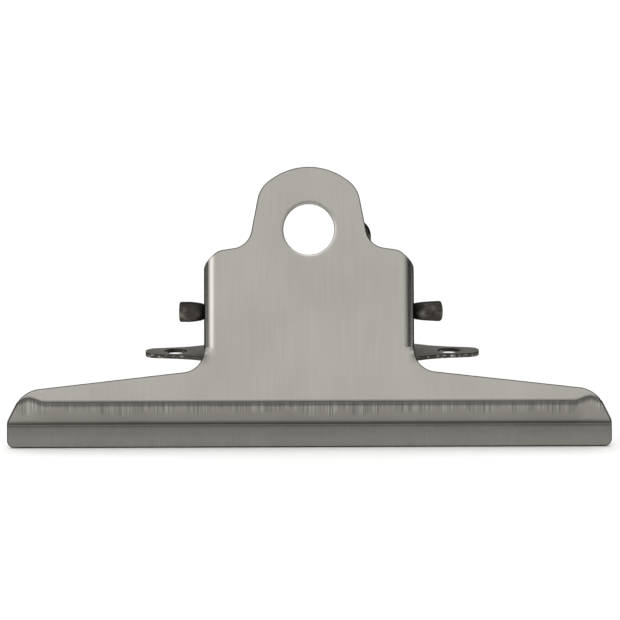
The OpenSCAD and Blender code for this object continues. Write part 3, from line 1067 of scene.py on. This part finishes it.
    def fold_place(self, x: float, down: float) -> float:
        """Return where a point lies along the fold, as if the crease didn't climb at the ends."""
        rise = self.rise(x)
        step_to = self.first_arc + self.step_length
        if down < self.first_arc - rise:
            return down + rise
        if down < step_to:
            part = (down - self.first_arc + rise) / (self.step_length + rise)
            return self.first_arc + part * self.step_length
        return down

    def below_slit(self, v: float, run: float) -> float:
        """Return what is left at a height on the blank of what runs out below the slit."""
        return 1 - smooth(-v, self.flange_bottom, self.flange_bottom + run)

    def bend_shade_weight(self, place: Vector) -> float:
        """Return how much painted shade a point of the blank gets round a flange's bend, from 0 to
        1.
        """
        off = abs(abs(place.x) - self.bend_x - self.bend_shade_middle)
        return (1 - smooth(off, 0.0, self.bend_shade_reach)) * self.below_slit(place.y, self.bend_shade_run)

    def press(self, place: Vector) -> Vector:
        """Move a point of the flat blank to where pressing puts it.

        Args:
            place: The point on the blank: across, up, and through the sheet from its back.

        Returns:
            The point in the lever's frame as X, Y and Z.
        """
        x, v, w = place
        across = abs(x) - self.bend_x
        if across > 0 and v > -self.flange_bottom - self.slit / 2:
            if across < self.bend_length:
                a = across / self.bend_length * math.pi / 2
                radius = self.bend_inner + w
                out = self.bend_x + radius * math.sin(a)
                depth = self.bend_depth + radius * math.cos(a)
            else:
                out = self.bend_x + self.bend_inner + w
                depth = self.bend_depth - (across - self.bend_length)
            return Vector((math.copysign(out, x), -depth, v))
        curl = math.radians(self.curl) * self.below_slit(v, self.curl_run)
        if across > 0 and curl > 0:
            middle = self.bend_inner + self.thickness / 2
            a = min(across / middle, curl)
            rest = across - a * middle
            radius = self.bend_inner + w
            out = self.bend_x + radius * math.sin(a) + rest * math.cos(a)
            depth = self.bend_depth + radius * math.cos(a) - rest * math.sin(a)
            return Vector((math.copysign(out, x), -depth, v))
        depth, height, a = self.fold(x, -self.crease_v - v)
        lift = w - self.thickness / 2
        return Vector((x, -depth - lift * math.cos(a), height - lift * math.sin(a)))

    def score_bends(self, bm: bmesh.types.BMesh) -> None:
        """Score the flat blank wherever it is bent or its bends' painted shade fades out."""
        crease = steps(-self.crease_lead, self.first_arc, self.crease_steps)
        score(bm, 1, (-self.crease_v - down for down in crease))
        curl_from = self.flange_bottom + self.slit + self.score_slack
        curl = steps(curl_from, self.flange_bottom + self.bend_shade_run, self.curl_steps)
        score(bm, 1, (-v for v in curl))
        second = self.first_arc + self.step_length
        lip = steps(second, second + self.second_arc, self.lip_steps)
        score(bm, 1, (-self.crease_v - down for down in lip))
        bend_end = self.bend_x + self.bend_length
        past_from, past_to = (bend_end + past for past in self.past_bend)
        across = steps(self.bend_x, bend_end, self.bend_steps)
        across += steps(past_from, past_to, self.flange_steps)
        across += steps(self.rise_from, self.rise_end, self.rise_steps)
        for side in Side:
            score(bm, 0, (side.value * x for x in across))

    def build(self) -> bpy.types.Object:
        """Press the lever out of its blank and set it on the axle.

        Returns:
            The finished piece.
        """
        blank = Blank(
            [self.outline()],
            [Hole(0.0, self.hang_v, self.hang_radius, self.hang_rollover, self.hang_dip)] + [
                Hole(s.value * self.axle_x, 0.0, self.bore_radius, self.rollover, self.rollover)
                for s in Side
            ],
            self.thickness, self.rollover, self.in_slit,
        )
        bm = blank.cut()
        self.score_bends(bm)
        fold_place = bm.verts.layers.float.new(FOLD_PLACE)
        # Weight of the painted shade round the flanges' bends
        bend_shade_weight = bm.verts.layers.float.new(PAINTED_BEND_SHADE)
        for vert in bm.verts:
            vert[fold_place] = self.fold_place(vert.co.x, -self.crease_v - vert.co.y)
            vert[bend_shade_weight] = self.bend_shade_weight(vert.co)
            vert.co = self.press(vert.co)
        lean = Matrix.Rotation(math.radians(self.rest_angle - 90), 4, "X")
        set_on_axle = Matrix.Translation((-self.shift, 0.0, self.axle_height)) @ lean
        bmesh.ops.transform(bm, matrix=set_on_axle, verts=bm.verts)
        piece = place_piece(
            bm, "pressed_lever", "lever_plate", self.finish.material()
        )
        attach(piece, Body.LEVER.value)
        return piece


@dataclass
class Bracket:
    """The riveted bracket: a flat sheet with two ears and two lugs turned up out of it."""

    thickness: float = SHEET_THICKNESS
    axle_height: float = AXLE_HEIGHT
    half_width: float = 22.0
    front: float = 10.5
    back: float = 9.5
    corner_radius: float = 2.0
    root_x: float = 26.05
    root_half: float = 7.4
    root_radius: float = 2.0
    waist_x: float = 30.04
    waist_half: float = 5.4
    waist_radius: float = 8.0
    rivet_x: float = 34.0
    rivet_radius: float = 2.65
    rivet_rollover: float = 0.3
    rivet_dip: float = 0.2
    hole_half: float = 4.4
    tip_x: float = 41.5
    tip_half: float = 3.2
    tip_radius: float = 3.0
    lug_line: float = 24.5
    lug_half: float = 4.5
    lug_bend: float = 0.5
    lance: float = 0.3
    # Straight left between the two rounds of a lug's end
    hair: float = 0.001
    # Steps between scores round a lug's bend
    bend_steps: int = 8
    bore_radius: float = BORE_RADIUS
    rollover: float = 0.14
    finish: Finish = MillFinish()

    @property
    def bend_length(self) -> float:
        """Length of a lug's bend, along the middle of the sheet."""
        return math.pi / 2 * (self.lug_bend + self.thickness / 2)

    @property
    def lug_centre(self) -> float:
        """Where a lug's bore lies on the flat blank, from the middle."""
        upright = self.axle_height - self.lug_bend - self.thickness
        return self.lug_line - self.bend_length - upright

    def outline(self) -> list[Corner]:
        """Return the sheet's outline, down the right side and back up the left."""
        ear = [
            Corner(self.half_width, self.root_half),
            Corner(self.root_x, self.root_half, self.root_radius),
            Corner(self.waist_x, self.waist_half, self.waist_radius),
            Corner(self.rivet_x, self.hole_half, self.waist_radius),
            Corner(self.tip_x, self.tip_half, self.tip_radius),
        ]
        right = [Corner(self.half_width, self.back, self.corner_radius)] + ear
        right += [Corner(c.x, -c.y, c.radius) for c in reversed(ear)]
        right += [Corner(self.half_width, -self.front, self.corner_radius)]
        return right + [c.flipped() for c in reversed(right)]

    def lance_cut(self, side: Side) -> list[Corner]:
        """Return the cut that frees one lug from the sheet, all but its bend."""
        s = side.value
        wide = self.lug_half + self.lance
        end = self.lug_centre - self.lug_half
        line = self.lug_line
        # Two rounds of nearly the lug's half width make its end
        round_end = self.lug_half - self.hair
        return [
            Corner(s * line, -wide),
            Corner(s * (end - self.lance), -wide),
            Corner(s * (end - self.lance), wide),
            Corner(s * line, wide),
            Corner(s * line, self.lug_half),
            Corner(s * end, self.lug_half, round_end),
            Corner(s * end, -self.lug_half, round_end),
            Corner(s * line, -self.lug_half),
        ]

    def turn_up(self, place: Vector) -> Vector:
        """Move a point of the flat blank to where it lies once the lugs are turned up."""
        x, y, w = place
        inside = self.lug_line - abs(x)
        tab_end = self.lug_line - self.lug_centre + self.lug_half + self.lance / 2
        if not (0 < inside < tab_end and abs(y) < self.lug_half + self.lance / 2):
            return place.copy()
        radius = self.lug_bend + self.thickness - w
        centre_z = self.lug_bend + self.thickness
        if inside < self.bend_length:
            a = inside / self.bend_length * math.pi / 2
            out, height = self.lug_line - radius * math.sin(a), centre_z - radius * math.cos(a)
        else:
            out, height = self.lug_line - radius, centre_z + inside - self.bend_length
        return Vector((math.copysign(out, x), y, height))

    def build(self) -> bpy.types.Object:
        """Cut the sheet, turn its lugs up and leave it on its mounting face.

        Returns:
            The finished piece.
        """
        holes = [
            Hole(side.value * x, 0.0, radius, rollover, dip)
            for x, radius, rollover, dip in (
                (self.rivet_x, self.rivet_radius, self.rivet_rollover, self.rivet_dip),
                (self.lug_centre, self.bore_radius, self.rollover, self.rollover),
            )
            for side in Side
        ]
        blank = Blank(
            [self.outline()] + [self.lance_cut(side) for side in Side], holes, self.thickness,
            self.rollover, lambda place: False,
        )
        bm = blank.cut()
        bend = steps(self.lug_line, self.lug_line - self.bend_length, self.bend_steps)
        for side in Side:
            score(bm, 0, (side.value * x for x in bend))
        for vert in bm.verts:
            vert.co = self.turn_up(vert.co)
        piece = place_piece(
            bm, "riveting_bracket", "bracket", self.finish.material()
        )
        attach(piece, Body.BRACKET.value)
        return piece


@dataclass
class Axle:
    """The axle: a length of round wire whose two ends are squeezed flat."""

    radius: float = AXLE_RADIUS
    height: float = AXLE_HEIGHT
    shift: float = 0.3
    shank_half: float = 26.7
    flat_length: float = 6.1
    flat_run: float = 2.6
    flat_half_height: float = 2.52
    flat_half_thickness: float = 1.15
    end_round: float = 0.45
    # Share of the radius past which the press flattened the wire
    flat_share: float = 0.62
    # Where each end begins to widen, over what length, and how far its tip bows, right then left
    widen_from: tuple[float, float] = (25.75, 26.75)
    widen_run: tuple[float, float] = (5.8, 3.2)
    bow: tuple[float, float] = (0.5, 0.15)
    bow_run: float = 2.0
    # Shares of that flattened part between which the press begins to bruise, and bruises fully
    bite: tuple[float, float] = (0.55, 0.95)
    sides: int = 64
    # Segments of the rounding at each end, and steps between scores along what is squeezed
    round_segments: int = 4
    squeeze_steps: int = 24
    finish: Finish = SqueezedWire()

    @property
    def end(self) -> float:
        """How far each end of the wire lies from its middle."""
        return self.shank_half + self.flat_length

    def widening(self, side: Side) -> tuple[float, float, float]:
        """Return where one end begins to widen, over what length, and its tip's bow."""
        which = 0 if side is Side.RIGHT else 1
        return self.widen_from[which], self.widen_run[which], self.bow[which]

    def squeeze(self, place: Vector) -> tuple[Vector, float]:
        """Move a point of the round wire to where the press puts it.

        Args:
            place: The point on the round wire, from the axle's centre.

        Returns:
            The point's new place, and how hard the press bit there, from 0 to 1.
        """
        x, y, z = place
        begin, run, bow = self.widening(Side.RIGHT if x > 0 else Side.LEFT)
        widened = min(1.0, max(0.0, (abs(x) - begin) / run)) ** 0.5
        done = smooth(abs(x), begin, begin + self.flat_run)
        reach = min(1.0, abs(y) / (self.radius * self.flat_share))
        flat_y = math.copysign(self.flat_half_thickness * math.sin(reach * math.pi / 2), y)
        tall = z * (1 + widened * (self.flat_half_height / self.radius - 1))
        by_tip = smooth(abs(x), self.end - self.bow_run, self.end)
        pulled = bow * (tall / self.flat_half_height) ** 2 * by_tip
        moved = Vector((math.copysign(abs(x) - pulled, x), y + done * (flat_y - y), tall))
        return moved, done * smooth(reach, *self.bite)

    def build(self) -> bpy.types.Object:
        """Cut the wire, squeeze both ends and put it through the bores.

        Returns:
            The finished piece.
        """
        bm = bmesh.new()
        bmesh.ops.create_cone(
            bm, cap_ends=True, segments=self.sides, radius1=self.radius, radius2=self.radius,
            depth=2 * self.end, matrix=Matrix.Rotation(math.pi / 2, 4, "Y"),
        )
        rims = [
            e for e in bm.edges if abs(e.verts[0].co.x - e.verts[1].co.x) < self.radius / 100
        ]
        Blank.round_edges(bm, rims, self.end_round, self.round_segments)
        for side in Side:
            begin = self.widening(side)[0]
            run = self.end - self.end_round - begin
            parts = steps(0.0, 1.0, self.squeeze_steps)
            score(bm, 0, (side.value * (begin + run * part * part) for part in parts))
        bitten = bm.verts.layers.float.new(BITTEN)
        for vert in bm.verts:
            vert.co, vert[bitten] = self.squeeze(vert.co)
        bmesh.ops.translate(bm, vec=Vector((-self.shift, 0.0, self.height)), verts=bm.verts)
        piece = place_piece(bm, "squeezed_axle", "axle_pin", self.finish.material())
        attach(piece, Body.BRACKET.value)
        return piece


@dataclass
class Spring:
    """The double torsion spring, wound as one wire and made here in two halves.

    The halves meet in the middle of the bridge.
    """

    wire_radius: float = 1.0
    axle_radius: float = AXLE_RADIUS
    axle_height: float = AXLE_HEIGHT
    coil_fit: float = 0.35
    coil_turns: int = 3
    turn_gap: float = 0.5
    leg_x: float = 13.7
    hook_v: float = 21.75
    hook_radius: float = 3.7
    hook_end: float = 2.0
    seat_gap: float = 0.3
    bridge_radius: float = 2.0
    bridge_y: float = 7.2
    bracket_thickness: float = SHEET_THICKNESS
    face_gap: float = FACE_GAP
    rest_angle: float = REST_ANGLE
    sides: int = 24
    # Steps round the hook's bend, one turn of the coil, and the bridge's bend
    hook_steps: int = 12
    turn_steps: int = 48
    bridge_steps: int = 10
    # Rounding of the wire's cut end, and the slack for finding that end's edges
    cut_round: float = 0.25
    cut_segments: int = 3
    slack: float = 1e-4
    # Rise of the blend along the coil and up the legs, per millimetre
    blend_across: float = 0.14
    blend_up: float = 0.0356
    finish: Finish = OiledSpringWire()

    def half(self, side: Side, material: bpy.types.Material) -> bpy.types.Object:
        """Wind one half of the wire, from its hooked end to the middle of the bridge.

        Args:
            side: The half to wind.
            material: The wire's material.

        Returns:
            The finished half.
        """
        coil_radius = self.axle_radius + self.coil_fit + self.wire_radius
        pitch = 2 * self.wire_radius + self.turn_gap
        lean = math.radians(self.rest_angle)
        front = self.face_gap - self.seat_gap - self.wire_radius
        hook = Vector((
            0.0,
            -front * math.sin(lean) + self.hook_v * math.cos(lean),
            front * math.cos(lean) + self.hook_v * math.sin(lean),
        ))
        seat = self.bracket_thickness + self.seat_gap
        bridge = Vector((0.0, self.bridge_y, seat + self.wire_radius - self.axle_height))
        leg_angle = math.atan2(hook.z, hook.y) + math.acos(coil_radius / hook.length)
        bridge_angle = 2 * math.pi + math.atan2(bridge.z, bridge.y)
        bridge_angle -= math.acos(coil_radius / bridge.length)
        turned = 2 * math.pi * self.coil_turns + bridge_angle - leg_angle
        inner_x = self.leg_x - pitch * turned / (2 * math.pi)
        leg_from = coil_radius * Vector((0.0, math.cos(leg_angle), math.sin(leg_angle)))
        bridge_from = coil_radius * Vector((0.0, math.cos(bridge_angle), math.sin(bridge_angle)))
        up_leg = (hook - leg_from).normalized()
        to_bridge = (bridge - bridge_from).normalized()
        along = Vector((1.0, 0.0, 0.0))

        bm = bmesh.new()
        start = hook + along * (self.leg_x - self.hook_radius - self.hook_end)
        bmesh.ops.create_circle(
            bm, cap_ends=True, radius=self.wire_radius, segments=self.sides,
            matrix=Matrix.Translation(start) @ Matrix.Rotation(math.pi / 2, 4, "Y"),
        )
        end = self.draw(bm, bm.faces[:], along * self.hook_end)
        bend_at = hook + along * (self.leg_x - self.hook_radius) - up_leg * self.hook_radius
        end = self.turn(bm, end, bend_at, up_leg.cross(along), math.pi / 2, self.hook_steps)
        end = self.draw(bm, end, -up_leg * ((hook - leg_from).length - self.hook_radius))
        count = self.turn_steps * self.coil_turns
        shift = -along * (self.leg_x - inner_x) / count
        end = self.turn(bm, end, Vector(), along, turned, count, shift)
        end = self.draw(bm, end, to_bridge * ((bridge - bridge_from).length - self.bridge_radius))
        bend_at = bridge + along * (inner_x - self.bridge_radius) - to_bridge * self.bridge_radius
        end = self.turn(bm, end, bend_at, along.cross(to_bridge), math.pi / 2, self.bridge_steps)
        self.draw(bm, end, -along * (inner_x - self.bridge_radius))
        lowest = hook.z - 2 * self.wire_radius
        cut_end = [
            e for e in bm.edges
            if all(abs(v.co.x - start.x) < self.slack and v.co.z > lowest for v in e.verts)
        ]
        Blank.round_edges(bm, cut_end, self.cut_round, self.cut_segments)

        bmesh.ops.translate(bm, vec=Vector((0.0, 0.0, self.axle_height)), verts=bm.verts)
        bmesh.ops.scale(bm, vec=Vector((side.value, 1.0, 1.0)), verts=bm.verts)
        name = f"spring_{side.name.lower()}_half"
        piece = place_piece(bm, name, "torsion_spring", material)
        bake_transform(piece)
        return piece

    @staticmethod
    def draw(
        bm: bmesh.types.BMesh, end: list[bmesh.types.BMFace], way: Vector
    ) -> list[bmesh.types.BMFace]:
        """Draw the wire's end straight on, and return its new end."""
        pulled = bmesh.ops.extrude_face_region(bm, geom=end)["geom"]
        moved = [v for v in pulled if isinstance(v, bmesh.types.BMVert)]
        bmesh.ops.translate(bm, vec=way, verts=moved)
        return [f for f in pulled if isinstance(f, bmesh.types.BMFace)]

    @staticmethod
    def turn(
        bm: bmesh.types.BMesh, end: list[bmesh.types.BMFace], centre: Vector, axis: Vector,
        angle: float, count: int, shift: Vector = Vector(),
    ) -> list[bmesh.types.BMFace]:
        """Turn the wire's end about a centre, and return its new end.

        Args:
            bm: The mesh of the wire.
            end: The face at the wire's end.
            centre: A point on the axis of the turn.
            axis: The direction of that axis.
            angle: How far to turn, in radians.
            count: Number of steps.
            shift: How far each step also moves, for a coil.

        Returns:
            The new end.
        """
        turned = bmesh.ops.spin(
            bm, geom=end, cent=centre, axis=axis, dvec=shift, angle=angle, steps=count,
            use_duplicate=False,
        )
        return [f for f in turned["geom_last"] if isinstance(f, bmesh.types.BMFace)]

    def build(self) -> list[bpy.types.Object]:
        """Wind both halves of the spring."""
        material = self.finish.material()
        return [self.half(side, material) for side in Side]


@dataclass(frozen=True)
class Patch:
    """A soft-edged part of the studio as the clip sees it, in degrees.

    Azimuth runs from the camera's side, positive to the right, and elevation from level.
    """

    azimuth: tuple[float, float]
    elevation: tuple[float, float]
    radiance: float
    edges: tuple[float, float] = (8.0, 8.0)


@dataclass
class Studio:
    """The pale floor, the soft light round the clip, and the camera."""

    # Radius of the floor, and the nearest and farthest that the camera sees, in metres
    floor_radius: float = 1.6
    view_range: tuple[float, float] = (0.05, 20.0)
    floor_sides: int = 96
    # Radiance of the room wherever no patch covers it
    room: float = 0.46
    # Overhead, behind the camera, to the left, low in front, and the two dark sides
    patches: tuple[Patch, ...] = (
        Patch((-200.0, 200.0), (48.0, 110.0), 2.65, (8.0, 12.0)),
        Patch((-90.0, 30.0), (8.0, 50.0), 0.84, (24.0, 8.0)),
        Patch((-63.0, -26.0), (-20.0, 50.0), 1.9, (30.0, 8.0)),
        Patch((-30.0, 30.0), (-12.0, 12.0), 0.22, (20.0, 10.0)),
        Patch((-170.0, -80.0), (-60.0, 17.0), 0.12, (26.0, 8.0)),
        Patch((53.0, 165.0), (-60.0, 50.0), 0.02, (20.0, 8.0)),
    )
    aim: Vector = Vector((0.0, -5.0, 11.0))
    distance: float = 1800.0
    azimuth: float = -0.26
    elevation: float = 12.5
    roll: float = 0.14
    # Width of the picture at the clip, and where the aim falls in it, in millimetres
    picture_width: float = 153.8
    aim_offset: tuple[float, float] = (0.56, -1.437)
    sensor: float = 36.0
    paper: Finish = StudioPaper()

    def lay_floor(self) -> None:
        """Lay the floor at the foot of the jaw."""
        bm = bmesh.new()
        bmesh.ops.create_circle(
            bm, cap_ends=True, radius=self.floor_radius, segments=self.floor_sides,
            matrix=Matrix.Translation((0.0, 0.0, CAD_BOX[0][2])),
        )
        mesh = bpy.data.meshes.new("studio_floor")
        bm.to_mesh(mesh)
        bm.free()
        mesh.materials.append(self.paper.material())
        floor = bpy.data.objects.new("studio_floor", mesh)
        bpy.context.scene.collection.objects.link(floor)

    def light(self) -> None:
        """Surround the clip with soft light, brightest overhead and dark at both sides."""
        world = bpy.data.worlds.new("soft_studio_light")
        world.use_nodes = True
        bpy.context.scene.world = world
        tree = world.node_tree
        tree.nodes.clear()
        way = add_node(tree, "ShaderNodeTexCoord", out="Generated")
        parts = {
            axis: add_node(tree, "ShaderNodeSeparateXYZ", links={"Vector": way}, out=axis)
            for axis in "XYZ"
        }
        towards = add_node(
            tree, "ShaderNodeMath", {"operation": "MULTIPLY", 1: -1.0}, {0: parts["Y"]}
        )
        azimuth = add_node(
            tree, "ShaderNodeMath", {"operation": "ARCTAN2"}, {0: parts["X"], 1: towards}
        )
        elevation = add_node(tree, "ShaderNodeMath", {"operation": "ARCSINE"}, {0: parts["Z"]})
        level = add_node(tree, "ShaderNodeValue")
        level.default_value = self.room
        for patch in self.patches:
            inside = [
                self.band(tree, azimuth, patch.azimuth, patch.edges[0]),
                self.band(tree, elevation, patch.elevation, patch.edges[1]),
            ]
            mask = add_node(
                tree, "ShaderNodeMath", {"operation": "MULTIPLY"}, dict(enumerate(inside))
            )
            level = add_node(
                tree, "ShaderNodeMix", {"data_type": "FLOAT", 3: patch.radiance},
                {0: mask, 2: level},
            )
        shine = add_node(tree, "ShaderNodeBackground", links={"Strength": level})
        add_node(tree, "ShaderNodeOutputWorld", links={"Surface": shine})

    @staticmethod
    def band(
        tree: bpy.types.NodeTree,
        angle: bpy.types.NodeSocket,
        ends: tuple[float, float],
        edge: float,
    ) -> bpy.types.NodeSocket:
        """Add a mask that is 1 between two angles, with soft edges.

        Args:
            tree: The world's tree.
            angle: The angle to test, in radians.
            ends: The two angles, in degrees.
            edge: Width of each soft edge, in degrees.

        Returns:
            The mask.
        """
        # The mask rises from 0 to 1 at the first angle, and falls from 1 to 0 at the second
        sides = [
            add_node(
                tree, "ShaderNodeMapRange",
                {"interpolation_type": "SMOOTHSTEP", "From Min": math.radians(at - edge / 2),
                 "From Max": math.radians(at + edge / 2), "To Min": before, "To Max": 1.0 - before},
                {"Value": angle},
            )
            for at, before in zip(ends, (0.0, 1.0))
        ]
        return add_node(
            tree, "ShaderNodeMath", {"operation": "MULTIPLY"}, dict(enumerate(sides))
        )

    def set_camera(self) -> None:
        """Put the camera where the photograph was taken from."""
        az, el, roll = (math.radians(a) for a in (self.azimuth, self.elevation, self.roll))
        back = Vector((math.sin(az) * math.cos(el), -math.cos(az) * math.cos(el), math.sin(el)))
        level = Vector((math.cos(az), math.sin(az), 0.0))
        up = back.cross(level)
        right = level * math.cos(roll) - up * math.sin(roll)
        above = level * math.sin(roll) + up * math.cos(roll)
        middle = self.aim - right * self.aim_offset[0] - above * self.aim_offset[1]
        data = bpy.data.cameras.new("studio_camera")
        data.sensor_width = self.sensor
        data.lens = self.sensor * self.distance / self.picture_width
        data.clip_start, data.clip_end = self.view_range
        camera = bpy.data.objects.new("studio_camera", data)
        turn = Matrix((right, above, back)).transposed().to_4x4()
        camera.matrix_world = Matrix.Translation((middle + back * self.distance) * MM) @ turn
        bpy.context.scene.collection.objects.link(camera)
        bpy.context.scene.camera = camera

    def build(self) -> None:
        """Set up the floor, the light, the camera and a plain view of colours."""
        self.lay_floor()
        self.light()
        self.set_camera()
        bpy.context.scene.view_settings.view_transform = "Standard"


def main() -> None:
    """Build the clip and its studio."""
    logging.basicConfig(level=logging.INFO, format="%(name)s: %(message)s")
    for part in (Lever(), Bracket(), Axle(), Spring()):
        part.build()
        LOG.info("%s is done", type(part).__name__.lower())
    Studio().build()


if __name__ == "__main__":
    main()
